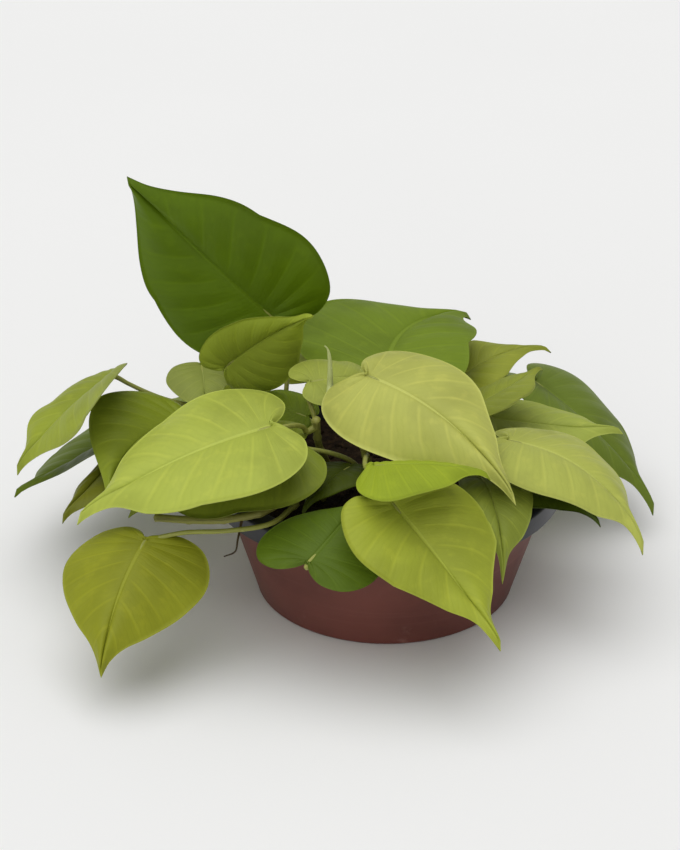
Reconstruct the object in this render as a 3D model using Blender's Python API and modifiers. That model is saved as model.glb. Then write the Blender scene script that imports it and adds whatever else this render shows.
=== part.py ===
"""Potted heartleaf philodendron: a growing pot of soil in a low outer pot, vines and heart-shaped leaves.

The origin is the centre of the outer pot's flat underside, +Z is up, and the plant's front looks along -Y.
The tables give places in millimetres. Everything that is built is in metres.
"""

import math

import bmesh
import bpy
from mathutils import Vector

MM = 0.001
PART_NAME = "potted_philodendron"

# Outer pot
POT_BASE_RADIUS = 62 * MM
POT_TOP_RADIUS = 78.5 * MM
POT_HEIGHT = 55.5 * MM
POT_WALL = 1.6 * MM
POT_FLOOR = 2.0 * MM
POT_CORNER = 2.5 * MM
TURN_STEPS = 36

# Growing pot, which hangs in the outer pot by its rim
LINER_RIM_RADIUS = 85 * MM
LINER_RIM_TOP = 63.5 * MM
LINER_RIM_BOTTOM = 53.5 * MM
LINER_WALL = 1.4 * MM
LINER_FLOOR_Z = 4.5 * MM
LINER_BASE_RADIUS = 57.5 * MM
LINER_TOP_RADIUS = 75.5 * MM
DRAIN_HOLES = 6
DRAIN_RADIUS = 4 * MM
DRAIN_CIRCLE = 38 * MM

# Soil
SOIL_TOP = 55.5 * MM
SOIL_CROWN = 1.5 * MM
TOUCH_GAP = 0.3 * MM

# Vines and petioles
VINE_RADIUS = 1.9 * MM
VINE_STEPS = 3
ROOT_RADIUS = 0.6 * MM
SHOOT_RADIUS = 1.3 * MM
VINE_HOLE_RADIUS = 2.5 * MM
VINE_HOLE_DEPTH = 16 * MM
NODE_SWELL = 1.1
PETIOLE_RADIUS = 1.15 * MM
PETIOLE_TIP_SHARE = 0.5
PETIOLE_POINTS = 7
PETIOLE_SINK = 7 * MM
PETIOLE_UNDER_BLADE = 0.85 * MM
PETIOLE_STUB = 3 * MM
TUBE_ROUNDNESS = 1

# Leaf blades
BLADE_THICKNESS = 0.8 * MM
BLADE_SIDE_POINTS = 10
BLADE_RINGS = (0.36, 0.7, 1.0)
BLADE_CENTRE = 0.25
MIDRIB_ROUNDING = 0.03
FULL_START = 0.45
TAIL_START = 0.68
CURL_START = 0.9
PILLOW = 0.03
PILLOW_RAMP = 0.12

# Half of a leaf's outline as shares of its length, from the notch at the petiole round the lobe to the tip
HALF_OUTLINE = (
    (0.0, 0.0),
    (-0.07, 0.07),
    (-0.105, 0.19),
    (-0.055, 0.335),
    (0.08, 0.43),
    (0.25, 0.455),
    (0.44, 0.39),
    (0.63, 0.26),
    (0.79, 0.13),
    (0.90, 0.05),
    (1.0, 0.0),
)

COLOURS = {
    "terracotta": (0.13, 0.032, 0.026, 1),
    "night_blue": (0.012, 0.014, 0.030, 1),
    "soil": (0.035, 0.022, 0.014, 1),
    "vine": (0.25, 0.24, 0.08, 1),
    "pale": (0.45, 0.48, 0.10, 1),
    "lime": (0.33, 0.40, 0.05, 1),
    "green": (0.13, 0.24, 0.02, 1),
    "deep": (0.05, 0.12, 0.015, 1),
}

# Each vine stands upright in its hole and then runs through these points to its end
VINES = {
    "vine_front_left": ((-30, -24, 44), (-30, -24, 57), (-30, -24, 62), (-44, -44, 69), (-58, -58, 68),
                        (-76, -61, 66), (-92, -59, 65), (-106, -57, 65)),
    "vine_left": ((-56, 8, 44), (-56, 8, 57), (-56, 8, 62), (-66, 10, 69), (-78, 12, 71)),
    "vine_middle_left": ((-28, 2, 44), (-28, 2, 57), (-28, 2, 62), (-32, -12, 80), (-33, -23, 98)),
    "vine_middle": ((-4, -14, 44), (-4, -14, 57), (-4, -14, 62), (-9, -20, 74), (-11, -25, 85)),
    "vine_front": ((8, -36, 44), (8, -36, 57), (8, -36, 60), (-4, -46, 66), (-18, -56, 66)),
    "vine_right": ((30, -8, 44), (30, -8, 57), (30, -8, 61), (40, -8, 68), (50, -6, 72)),
    "vine_back_right": ((26, 52, 44), (26, 52, 57), (26, 52, 61), (42, 62, 67), (58, 69, 69)),
    "vine_back_left": ((-48, 38, 44), (-48, 38, 57), (-48, 38, 61), (-60, 45, 69), (-76, 52, 71)),
    "vine_back": ((-6, 46, 44), (-6, 46, 57), (-6, 46, 62), (-8, 54, 72), (-14, 62, 78)),
}

# Thin roots in the air: the vine that each is joined to, and its points
AIR_ROOTS = (
    ("vine_front_left", ((-66, -59, 67), (-67, -64, 64), (-68, -71, 61), (-69, -76, 58), (-74, -77, 56))),
    ("vine_right", ((40, -8, 68), (40, -14, 64), (41, -18, 59))),
    ("vine_back", ((-8, 54, 72), (-14, 58, 67), (-16, 60, 59))),
)
# The rolled new leaf that stands at the end of a vine
SHOOTS = {
    "vine_middle": ((-16, -26, 91), (-20, -21, 96), (-23, -18, 99.5), (-26.5, -13, 104.5),
                    (-26.5, -8.5, 108.5), (-26.5, -8.5, 115), (-26.7, -8.5, 122), (-27.5, -8.5, 127),
                    (-29, -8.5, 129)),
}


class Leaf:
    """A blade from its notch to its tip, and the place on a vine where its petiole starts."""

    def __init__(self, name, base, tip, vine, at, colour, roll=0, left=1.0, right=1.0,
                 arch=0.06, fold=0.0, sweep=0.0, full=0.0, tail=0.35, twist=0, curl=(0, 0, -2), via=()):
        self.name = name
        self.base = Vector(base) * MM
        self.tip = Vector(tip) * MM
        self.vine = vine
        self.at = at
        self.colour = colour
        self.roll = math.radians(roll)
        self.left = left
        self.right = right
        self.arch = arch
        self.fold = fold
        self.sweep = sweep
        self.full = full
        self.tail = tail
        self.twist = math.radians(twist)
        self.curl = Vector(curl) * MM
        self.via = [Vector(point) * MM for point in via]


LEAVES = (
    Leaf("leaf_01", (-55, 72, 108), (-126, 78, 181), "vine_back_left", 0.5, "deep",
         roll=-104, left=1.02, right=1.06, arch=-0.02, fold=0.03, sweep=0.035, full=0.17, tail=0.0,
         curl=(0, 0, 0)),
    Leaf("leaf_02", (1, 37, 92), (46.5, 113, 92), "vine_back", 0.5, "green",
         left=1.5, right=1.06, arch=0.08, fold=0.05, sweep=0.14, full=0.35, tail=0.13),
    Leaf("leaf_03", (-78, 38, 97), (-34, 8, 139), "vine_back_left", 0.75, "lime",
         roll=120, left=0.6, right=0.82, arch=-0.05, fold=0.05, full=-0.1),
    Leaf("leaf_04", (-91, 57, 89.5), (-88, 26, 75), "vine_back_left", 0.9, "green",
         roll=12, left=0.9, right=1.2, arch=0.04, sweep=0.03, full=0.0),
    Leaf("leaf_05", (-133.5, 38, 92.5), (-178, 5, 56.5), "vine_back_left", 0.85, "lime",
         roll=17, left=1.4, right=0.83, arch=0.1, fold=0.1, sweep=0.11, full=0.48, tail=0.2, twist=-27,
         via=((-92, 43, 73), (-112, 40, 80))),
    Leaf("leaf_06", (-129, 55, 58), (-182, 15, 39), "vine_back_left", 1.0, "deep",
         roll=25, right=1.15, arch=-0.03, fold=0.1, sweep=0.02, full=0.25),
    Leaf("leaf_07", (-97, 24, 75.5), (-130, -36, 63), "vine_left", 0.75, "green",
         roll=-16, left=0.6, right=1.02, arch=0.05, fold=0.1, sweep=-0.12, full=0.07, tail=0.0),
    Leaf("leaf_08", (-9.5, -12, 115.5), (57, -67, 78.5), "vine_middle", 1.0, "pale",
         roll=25, left=0.74, right=0.73, arch=0.07, fold=-0.4, sweep=0.06, full=-0.11, tail=0.25),
    Leaf("leaf_09", (-53, -38, 102), (-141, -62, 66), "vine_middle_left", 0.9, "pale",
         roll=-5, arch=0.08, fold=-0.05, sweep=0.03, full=0.15),
    Leaf("leaf_10", (-123, 22, 64), (-151, -40, 54.5), "vine_left", 1.0, "green",
         roll=12, left=0.9, right=0.24, arch=0.02, sweep=0.0, full=0.5, tail=0.0),
    Leaf("leaf_11", (-42, -30, 88), (-119, -50, 63), "vine_middle", 0.6, "green",
         roll=-4, arch=0.05, fold=-0.15, full=0.25),
    Leaf("leaf_12", (-109, -74, 63), (-126, -124, 24), "vine_front_left", 0.42, "lime",
         roll=-5, left=1.08, right=1.15, arch=0.05, fold=-0.45, sweep=-0.04, tail=0.12,
         via=((-53, -68, 68), (-72, -73, 67), (-92, -72, 65.5))),
    Leaf("leaf_13", (-36, 0, 106.5), (2, 22, 93.5), "vine_middle_left", 0.8, "lime",
         roll=15, left=0.9, right=0.9, arch=0.16, fold=-0.15, sweep=-0.09, full=0.4),
    Leaf("leaf_14", (-7, -60, 93), (45, -68, 92), "vine_middle", 0.92, "lime",
         roll=-15, left=0.68, right=1.35, fold=-0.3, sweep=-0.04, full=0.05),
    Leaf("leaf_15", (1, -76, 83), (47, -130, 41.5), "vine_front", 0.5, "lime",
         right=0.94, arch=-0.02, fold=0.03, sweep=0.04, full=-0.2),
    Leaf("leaf_16", (43, -35, 74.5), (51, -81.5, 46.3), "vine_right", 0.4, "green",
         roll=-6, left=0.82, right=0.5, arch=0.19, fold=-0.05, full=0.12),
    Leaf("leaf_17", (56, -20, 86), (117, -58, 48), "vine_right", 1.0, "lime",
         roll=-8, arch=0.12, fold=-0.15, sweep=0.08, full=0.05),
    Leaf("leaf_18", (49, 40, 69), (117, 26, 68), "vine_back_right", 0.55, "lime",
         roll=8, left=0.65, arch=0.01, fold=-0.05, sweep=-0.04, full=0.2),
    Leaf("leaf_19", (34, 66, 73), (86, 84, 86), "vine_back_right", 0.75, "lime",
         arch=0.09, fold=0.03, sweep=0.07, full=-0.3),
    Leaf("leaf_20", (41, 28, 79), (78, 43, 95), "vine_back_right", 0.42, "lime",
         roll=-15, right=1.35, arch=0.02, sweep=-0.09, full=0.5),
    Leaf("leaf_21", (78, 84, 68), (138, 46, 12), "vine_back_right", 1.0, "deep",
         roll=-10, left=0.95, right=0.65, arch=0.07, fold=-0.05, full=0.1),
    Leaf("leaf_22", (60, -22, 65.5), (97, -57, 62), "vine_right", 0.8, "deep",
         left=0.25, right=1.1, arch=0.09, full=-0.1),
    Leaf("leaf_23", (-36, -99, 65.3), (-14, -51, 70), "vine_front", 0.95, "deep",
         roll=9, left=1.2, right=1.12, arch=0.1, fold=-0.25, sweep=-0.06),
    Leaf("leaf_24", (-17, -24, 74), (-39, -60, 69), "vine_front", 0.6, "deep",
         roll=10, left=1.0, right=1.0, arch=0.07),
    Leaf("leaf_25", (-38, 22, 77.5), (-78, 31, 81.5), "vine_middle_left", 0.5, "green",
         roll=-8, left=0.9, right=0.9),
    Leaf("leaf_26", (-62, 74, 74), (-84, 132, 40), "vine_back_left", 0.6, "lime",
         arch=0.1, fold=-0.2),
    Leaf("leaf_27", (-22, 88, 82), (-34, 158, 52), "vine_back", 1.0, "pale",
         arch=0.1, fold=-0.15),
    Leaf("leaf_28", (18, 98, 70), (22, 158, 34), "vine_back", 0.7, "lime",
         left=0.8, right=0.8, arch=0.1, fold=-0.2),
    Leaf("leaf_29", (66, 90, 66), (92, 142, 30), "vine_back_right", 0.85, "green",
         left=0.8, right=0.8, arch=0.08, fold=-0.2),
    Leaf("leaf_30", (-106, 72, 58), (-158, 92, 24), "vine_back_left", 0.8, "green",
         arch=0.08, fold=-0.2),
)


def clear_scene():
    for obj in list(bpy.data.objects):
        bpy.data.objects.remove(obj)


def new_collection(name):
    made = bpy.data.collections.new(name)
    bpy.context.scene.collection.children.link(made)
    return made


def material(name, colour, roughness=0.5):
    made = bpy.data.materials.new(name)
    made.use_nodes = True
    shader = made.node_tree.nodes["Principled BSDF"]
    shader.inputs["Base Color"].default_value = COLOURS[colour]
    shader.inputs["Roughness"].default_value = roughness
    shader.inputs["Metallic"].default_value = 0.0
    return made


def mesh_object(name, collection, vertices, edges, faces):
    mesh = bpy.data.meshes.new(name)
    mesh.from_pydata(vertices, edges, faces)
    made = bpy.data.objects.new(name, mesh)
    collection.objects.link(made)
    return made


def as_helper(obj):
    """A cutter or a piece that a Boolean joins to another stays out of the part itself."""
    obj.hide_render = True
    obj.display_type = "WIRE"
    return obj


def through_points(points, steps):
    """A smooth curve through the points, with this many steps between each two."""
    ends = [2 * points[0] - points[1], *points, 2 * points[-1] - points[-2]]
    found = []
    for a, b, c, d in zip(ends, ends[1:], ends[2:], ends[3:]):
        for step in range(steps):
            t = step / steps
            found.append(
                0.5 * (2 * b + (c - a) * t + (2 * a - 5 * b + 4 * c - d) * t**2
                       + (3 * b - a - 3 * c + d) * t**3)
            )
    return found + [points[-1].copy()]


def turned(name, collection, profile):
    """A turned solid from a profile of (radius, height), from the axis down its outer side to the axis."""
    points = [(radius, 0, height) for radius, height in profile]
    edges = [(i, i + 1) for i in range(len(points) - 1)]
    made = mesh_object(name, collection, points, edges, [])
    screw = made.modifiers.new("turn", "SCREW")
    screw.steps = TURN_STEPS
    screw.render_steps = TURN_STEPS
    screw.use_merge_vertices = True
    screw.merge_threshold = 0.05 * MM
    screw.use_smooth_shade = True
    return made


def cylinder(name, collection, radius, bottom, top, x, y, sides=16):
    shape = bmesh.new()
    bmesh.ops.create_cone(shape, cap_ends=True, segments=sides, radius1=radius, radius2=radius,
                          depth=top - bottom)
    mesh = bpy.data.meshes.new(name)
    shape.to_mesh(mesh)
    shape.free()
    made = bpy.data.objects.new(name, mesh)
    made.location = (x, y, (top + bottom) / 2)
    collection.objects.link(made)
    return as_helper(made)


def tube(name, collection, points, radii):
    """A closed tube through the points, as a mesh."""
    curve = bpy.data.curves.new(name, "CURVE")
    curve.dimensions = "3D"
    curve.bevel_depth = 1.0
    curve.bevel_resolution = TUBE_ROUNDNESS
    curve.use_fill_caps = True
    spline = curve.splines.new("POLY")
    spline.points.add(len(points) - 1)
    for slot, point, radius in zip(spline.points, points, radii):
        slot.co = (*point, 1)
        slot.radius = radius
    drawn = bpy.data.objects.new(name, curve)
    collection.objects.link(drawn)
    bpy.context.view_layer.update()
    graph = bpy.context.evaluated_depsgraph_get()
    mesh = bpy.data.meshes.new_from_object(drawn.evaluated_get(graph))
    shape = bmesh.new()
    shape.from_mesh(mesh)
    bmesh.ops.remove_doubles(shape, verts=shape.verts, dist=0.01 * MM)
    shape.to_mesh(mesh)
    shape.free()
    made = bpy.data.objects.new(name, mesh)
    made.matrix_world = drawn.matrix_world
    bpy.data.objects.remove(drawn)
    bpy.data.curves.remove(curve)
    collection.objects.link(made)
    made.name = name
    return made


def boolean(target, operand, operation, solver="EXACT"):
    cut = target.modifiers.new(operand.name, "BOOLEAN")
    cut.operation = operation
    cut.solver = solver
    cut.object = operand


def build_outer_pot(parts):
    """The low terracotta-coloured pot, closed underneath."""
    wall_lean = (POT_TOP_RADIUS - POT_BASE_RADIUS) / POT_HEIGHT
    inner_base = POT_BASE_RADIUS + wall_lean * POT_FLOOR - POT_WALL
    inner_top = POT_TOP_RADIUS - POT_WALL
    profile = [
        (0, POT_FLOOR),
        (inner_base - POT_CORNER / 2, POT_FLOOR),
        (inner_base + wall_lean * POT_CORNER / 2, POT_FLOOR + POT_CORNER / 2),
        (inner_top, POT_HEIGHT),
        (POT_TOP_RADIUS, POT_HEIGHT),
    ]
    for step in range(4):
        angle = step / 3 * math.pi / 2
        corner_x = POT_BASE_RADIUS - POT_CORNER + wall_lean * POT_CORNER
        profile.append((corner_x + POT_CORNER * math.cos(angle), POT_CORNER * (1 - math.sin(angle))))
    profile.append((0, 0))
    pot = turned("pot", parts, profile)
    pot.data.materials.append(material("pot_terracotta_plastic", "terracotta", 0.45))
    return pot


def liner_inner_radius(height):
    lean = (LINER_TOP_RADIUS - LINER_BASE_RADIUS) / (LINER_RIM_TOP - LINER_FLOOR_Z)
    return LINER_BASE_RADIUS + lean * (height - LINER_FLOOR_Z) - LINER_WALL


def build_growing_pot(parts, cutters):
    """The dark growing pot: its rolled rim hooks over the outer pot's edge."""
    rim_inside = POT_TOP_RADIUS + 1.2 * MM
    web = POT_HEIGHT + TOUCH_GAP
    floor_top = LINER_FLOOR_Z + LINER_WALL
    profile = [
        (0, floor_top),
        (liner_inner_radius(floor_top), floor_top),
        (liner_inner_radius(LINER_RIM_TOP), LINER_RIM_TOP - 1 * MM),
        (liner_inner_radius(LINER_RIM_TOP) + 1 * MM, LINER_RIM_TOP),
        (LINER_RIM_RADIUS - 1.6 * MM, LINER_RIM_TOP),
        (LINER_RIM_RADIUS - 0.3 * MM, LINER_RIM_TOP - 1.2 * MM),
        (LINER_RIM_RADIUS, LINER_RIM_BOTTOM),
        (rim_inside + 1.2 * MM, LINER_RIM_BOTTOM),
        (rim_inside, web),
        (liner_inner_radius(web) + LINER_WALL, web),
        (LINER_BASE_RADIUS, LINER_FLOOR_Z),
        (0, LINER_FLOOR_Z),
    ]
    liner = turned("growing_pot", parts, profile)
    liner.data.materials.append(material("growing_pot_dark_plastic", "night_blue", 0.4))
    for index in range(DRAIN_HOLES):
        angle = 2 * math.pi * index / DRAIN_HOLES
        hole = cylinder(f"drain_cutter_{index}", cutters, DRAIN_RADIUS, LINER_FLOOR_Z - 2 * MM,
                        floor_top + 2 * MM, DRAIN_CIRCLE * math.cos(angle), DRAIN_CIRCLE * math.sin(angle))
        boolean(liner, hole, "DIFFERENCE")
    return liner


def build_soil(parts, cutters):
    """The soil fills the growing pot and has a plain hole for each vine."""
    bottom = LINER_FLOOR_Z + LINER_WALL + TOUCH_GAP
    profile = [
        (0, SOIL_TOP + SOIL_CROWN),
        (0.35 * LINER_TOP_RADIUS, SOIL_TOP + 0.8 * SOIL_CROWN),
        (0.7 * LINER_TOP_RADIUS, SOIL_TOP + 0.3 * SOIL_CROWN),
        (liner_inner_radius(SOIL_TOP) - TOUCH_GAP, SOIL_TOP),
        (liner_inner_radius(bottom) - TOUCH_GAP, bottom),
        (0, bottom),
    ]
    soil = turned("soil", parts, profile)
    soil.data.materials.append(material("potting_soil", "soil", 0.95))
    for name, points in VINES.items():
        x, y, _ = (value * MM for value in points[0])
        hole = cylinder(f"hole_of_{name}", cutters, VINE_HOLE_RADIUS, SOIL_TOP - VINE_HOLE_DEPTH,
                        SOIL_TOP + 10 * MM, x, y)
        boolean(soil, hole, "DIFFERENCE")
    return soil


def vine_path(name):
    points = [Vector(point) * MM for point in VINES[name]]
    return through_points(points, VINE_STEPS)


def along(path, share):
    """The point and the direction at a share of the path's length."""
    lengths = [(b - a).length for a, b in zip(path, path[1:])]
    left = share * sum(lengths)
    for a, b, length in zip(path, path[1:], lengths):
        if left <= length + 1e-9:
            return a + (b - a) * (left / length), (b - a).normalized()
        left -= length
    return path[-1].copy(), (path[-1] - path[-2]).normalized()


def build_vine(name, parts, helpers, look):
    """A stem, swollen a little at its nodes, with its rolled new leaf and its thin roots joined on."""
    path = vine_path(name)
    radii = [VINE_RADIUS * (NODE_SWELL if i % VINE_STEPS == 0 and i else 1) for i in range(len(path))]
    if name in SHOOTS:
        rolled = [Vector(point) * MM for point in SHOOTS[name]]
        path = path + rolled
        radii = radii + [SHOOT_RADIUS * (1 - 0.8 * i / len(rolled)) for i in range(len(rolled))]
    vine = tube(name, parts, path, radii)
    vine.data.materials.append(look)
    for number, (owner, points) in enumerate(AIR_ROOTS):
        if owner != name:
            continue
        route = through_points([Vector(point) * MM for point in points], 2)
        thinning = [ROOT_RADIUS * (1.2 - 0.7 * i / len(route)) for i in range(len(route))]
        root = as_helper(tube(f"air_root_{number}", helpers, route, thinning))
        boolean(vine, root, "UNION", solver="MANIFOLD")
    return vine


def smoothed_abs(value):
    return math.hypot(value, MIDRIB_ROUNDING) - MIDRIB_ROUNDING


class Blade:
    """A leaf's surface: along its length, across it, and above its chord, as shares of its length."""

    def __init__(self, leaf):
        self.leaf = leaf
        chord = leaf.tip - leaf.base
        self.length = chord.length
        self.along = chord.normalized()
        up = Vector((0, 0, 1))
        level = (up - up.dot(self.along) * self.along).normalized()
        side = level.cross(self.along)
        turn, lift = math.cos(leaf.roll), math.sin(leaf.roll)
        self.across = turn * side + lift * level
        self.normal = turn * level - lift * side

    def point(self, u, v, ring=1.0):
        leaf = self.leaf
        fullness = math.sin(math.pi * min(max((u - FULL_START) / (1 - FULL_START), 0), 1))
        narrowing = math.sin(math.pi * min(max((u - TAIL_START) / (1 - TAIL_START), 0), 1)) ** 2
        side = leaf.left if v > 0 else leaf.right
        v = v * side * (1 + leaf.full * fullness) * (1 - leaf.tail * narrowing)
        bow = 4 * u * (1 - u)
        pillow = PILLOW * 4 * ring * (1 - ring) * min(abs(v) / PILLOW_RAMP, 1)
        turn = leaf.twist * (u - 0.5)
        height = leaf.arch * bow + leaf.fold * smoothed_abs(v) + pillow + v * math.sin(turn)
        sideways = v * math.cos(turn) + leaf.sweep * bow
        place = u * self.along + sideways * self.across + height * self.normal
        hook = max((u - CURL_START) / (1 - CURL_START), 0) ** 2
        return leaf.base + self.length * place + hook * leaf.curl


def blade_outline(side_points):
    """The whole outline, from the notch round the left side to the tip and back."""
    half = through_points([Vector((*point, 0)) for point in HALF_OUTLINE], 8)
    last = len(half) - 1
    left = [half[round(last * i / side_points)] for i in range(side_points + 1)]
    right = [Vector((point.x, -point.y, 0)) for point in reversed(left[1:-1])]
    return left + right


def build_blade(leaf, collection):
    """The blade as rings of triangles round a point on the midrib, thickened evenly to both faces."""
    blade = Blade(leaf)
    outline = blade_outline(BLADE_SIDE_POINTS)
    count = len(outline)
    vertices = [blade.point(BLADE_CENTRE, 0, 0)]
    for ring in BLADE_RINGS:
        for corner in outline:
            u = BLADE_CENTRE + ring * (corner.x - BLADE_CENTRE)
            vertices.append(blade.point(u, ring * corner.y, ring))
    faces = [(0, 1 + (i + 1) % count, 1 + i) for i in range(count)]
    for ring in range(len(BLADE_RINGS) - 1):
        inner = 1 + ring * count
        outer = inner + count
        for i in range(count):
            j = (i + 1) % count
            faces.append((inner + i, inner + j, outer + i))
            faces.append((inner + j, outer + j, outer + i))
    made = mesh_object(leaf.name, collection, vertices, [], faces)
    thicken = made.modifiers.new("thickness", "SOLIDIFY")
    thicken.thickness = BLADE_THICKNESS
    thicken.offset = 0
    return made, blade


def petiole_points(leaf, blade):
    """From the side of the vine, up and over, to the notch and a little way along under the midrib."""
    centre, heading = along(vine_path(leaf.vine), leaf.at)
    out = (leaf.via[0] if leaf.via else leaf.base) - centre
    out = (out - out.dot(heading) * heading).normalized()
    start = centre + out * (VINE_RADIUS + TOUCH_GAP)
    stub = start + out * PETIOLE_STUB
    sunk = -PETIOLE_UNDER_BLADE * blade.normal
    notch = leaf.base + sunk
    reach = (notch - stub).length
    under = blade.point(PETIOLE_SINK / blade.length, 0) + sunk
    arrive = (under - notch).normalized()
    first = stub + (out * 0.3 + Vector((0, 0, 1))) * 0.3 * reach
    second = notch - (arrive * 0.6 + Vector((0, 0, 0.25))) * 0.35 * reach
    if leaf.via:
        curve = through_points([stub, *leaf.via, notch], 3)
    else:
        curve = []
        for step in range(PETIOLE_POINTS):
            t = step / (PETIOLE_POINTS - 1)
            curve.append((1 - t)**3 * stub + 3 * t * (1 - t)**2 * first
                         + 3 * t**2 * (1 - t) * second + t**3 * notch)
    return [start, *curve, under]


def build_leaf(leaf, parts, helpers, looks):
    made, blade = build_blade(leaf, parts)
    points = petiole_points(leaf, blade)
    radii = [PETIOLE_RADIUS] * (len(points) - 1) + [PETIOLE_RADIUS * PETIOLE_TIP_SHARE]
    petiole = as_helper(tube(f"petiole_of_{leaf.name}", helpers, points, radii))
    boolean(made, petiole, "UNION", solver="MANIFOLD")
    made.data.materials.append(looks[leaf.colour])
    return made


def main():
    clear_scene()
    parts = new_collection(PART_NAME)
    helpers = new_collection("helpers")
    build_outer_pot(parts)
    build_growing_pot(parts, helpers)
    build_soil(parts, helpers)
    vine_look = material("vine_skin", "vine", 0.5)
    for name in VINES:
        build_vine(name, parts, helpers, vine_look)
    looks = {name: material(f"leaf_{name}", name, 0.4) for name in ("pale", "lime", "green", "deep")}
    for leaf in LEAVES:
        build_leaf(leaf, parts, helpers, looks)


main()
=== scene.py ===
"""A potted heartleaf philodendron: fine leaf blades, petioles, vines, soil and two pots over the CAD frame.

Places in the tables are in millimetres, as in the part. Everything that is built is in metres.
"""

import math
import random

import bpy
import numpy as np
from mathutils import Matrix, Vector


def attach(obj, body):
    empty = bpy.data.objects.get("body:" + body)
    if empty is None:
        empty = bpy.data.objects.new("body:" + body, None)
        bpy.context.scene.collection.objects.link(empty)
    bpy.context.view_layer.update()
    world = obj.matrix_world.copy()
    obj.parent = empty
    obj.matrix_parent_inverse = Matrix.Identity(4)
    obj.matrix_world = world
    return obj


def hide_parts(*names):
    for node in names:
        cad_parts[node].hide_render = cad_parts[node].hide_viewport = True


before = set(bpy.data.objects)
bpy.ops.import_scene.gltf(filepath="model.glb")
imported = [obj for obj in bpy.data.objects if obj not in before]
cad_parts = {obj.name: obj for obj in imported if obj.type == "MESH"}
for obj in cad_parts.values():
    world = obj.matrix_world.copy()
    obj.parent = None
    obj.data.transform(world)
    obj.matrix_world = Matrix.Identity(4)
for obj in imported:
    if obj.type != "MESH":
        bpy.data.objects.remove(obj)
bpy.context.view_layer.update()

MM = 0.001
BODY = "root"

# Camera, floor and light
PICTURE_LONG_SIDE = 850
FOCAL_PIXELS = 2102
SENSOR_WIDTH = 36.0
CAMERA_TARGET = Vector((-0.0219, 0, 0.084))
CAMERA_DISTANCE = 1.0
CAMERA_ELEVATION = math.radians(26.13)
FLOOR_RADIUS = 4.0

# Outer pot
POT_BASE_RADIUS = 62 * MM
POT_TOP_RADIUS = 78.5 * MM
POT_HEIGHT = 55.5 * MM
POT_WALL = 1.6 * MM
POT_FLOOR = 2.0 * MM
POT_CORNER = 2.5 * MM
TURN_STEPS = 192

# Growing pot
LINER_RIM_RADIUS = 85 * MM
LINER_RIM_TOP = 63.5 * MM
LINER_RIM_BOTTOM = 53.5 * MM
LINER_WALL = 1.4 * MM
LINER_FLOOR_Z = 4.5 * MM
LINER_BASE_RADIUS = 57.5 * MM
LINER_TOP_RADIUS = 75.5 * MM

# Soil
SOIL_TOP = 55.5 * MM
SOIL_CROWN = 1.5 * MM
CRUMBS = 420

# Vines and petioles
VINE_RADIUS = 1.9 * MM
ROOT_RADIUS = 0.6 * MM
PETIOLE_RADIUS = 1.15 * MM
PETIOLE_POINTS = 7
PETIOLE_SINK = 7 * MM
PETIOLE_UNDER_BLADE = 0.85 * MM
PETIOLE_STUB = 3 * MM
TOUCH_GAP = 0.3 * MM

# Leaf blades
BLADE_THICKNESS = 0.55 * MM
MARGIN_THICKNESS = 0.3 * MM
MIDRIB_HEIGHT = 0.9 * MM
ROWS = 64
COLUMNS = 16
VEINS = 9
MIDRIB_ROUNDING = 0.03
FULL_START = 0.45
TAIL_START = 0.68
CURL_START = 0.9
PILLOW = 0.03

# Half of a leaf's outline as shares of its length, from the notch at the petiole round the lobe to the tip,
# and the place on the midrib that each point's side vein comes from
HALF_OUTLINE = (
    (0.0, 0.0, 0.0),
    (-0.07, 0.07, 0.004),
    (-0.105, 0.19, 0.01),
    (-0.055, 0.335, 0.02),
    (0.08, 0.43, 0.04),
    (0.25, 0.455, 0.09),
    (0.44, 0.39, 0.2),
    (0.63, 0.26, 0.38),
    (0.79, 0.13, 0.58),
    (0.90, 0.05, 0.77),
    (1.0, 0.0, 1.0),
)

# Each vine stands upright in its hole and then runs through these points to its end
VINES = {
    "vine_front_left": ((-30, -24, 44), (-30, -24, 57), (-30, -24, 62), (-44, -44, 69), (-58, -58, 68),
                        (-76, -61, 66), (-92, -59, 65), (-106, -57, 65)),
    "vine_left": ((-56, 8, 44), (-56, 8, 57), (-56, 8, 62), (-66, 10, 69), (-78, 12, 71)),
    "vine_middle_left": ((-28, 2, 44), (-28, 2, 57), (-28, 2, 62), (-32, -12, 80), (-33, -23, 98)),
    "vine_middle": ((-4, -14, 44), (-4, -14, 57), (-4, -14, 62), (-9, -20, 74), (-11, -25, 85)),
    "vine_front": ((8, -36, 44), (8, -36, 57), (8, -36, 60), (-4, -46, 66), (-18, -56, 66)),
    "vine_right": ((30, -8, 44), (30, -8, 57), (30, -8, 61), (40, -8, 68), (50, -6, 72)),
    "vine_back_right": ((26, 52, 44), (26, 52, 57), (26, 52, 61), (42, 62, 67), (58, 69, 69)),
    "vine_back_left": ((-48, 38, 44), (-48, 38, 57), (-48, 38, 61), (-60, 45, 69), (-76, 52, 71)),
    "vine_back": ((-6, 46, 44), (-6, 46, 57), (-6, 46, 62), (-8, 54, 72), (-14, 62, 78)),
}

# Thin roots in the air: the vine that each is joined to, and its points
AIR_ROOTS = (
    ("vine_front_left", ((-66, -59, 67), (-67, -64, 64), (-68, -71, 61), (-69, -76, 58), (-74, -77, 56))),
    ("vine_right", ((40, -8, 68), (40, -14, 64), (41, -18, 59))),
    ("vine_back", ((-8, 54, 72), (-14, 58, 67), (-16, 60, 59))),
)
# The rolled new leaf that stands at the end of a vine
SHOOTS = {
    "vine_middle": ((-16, -26, 91), (-20, -21, 96), (-23, -18, 99.5), (-26.5, -13, 104.5),
                    (-26.5, -8.5, 108.5), (-26.5, -8.5, 115), (-26.7, -8.5, 122), (-27.5, -8.5, 127),
                    (-29, -8.5, 129)),
}


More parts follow.
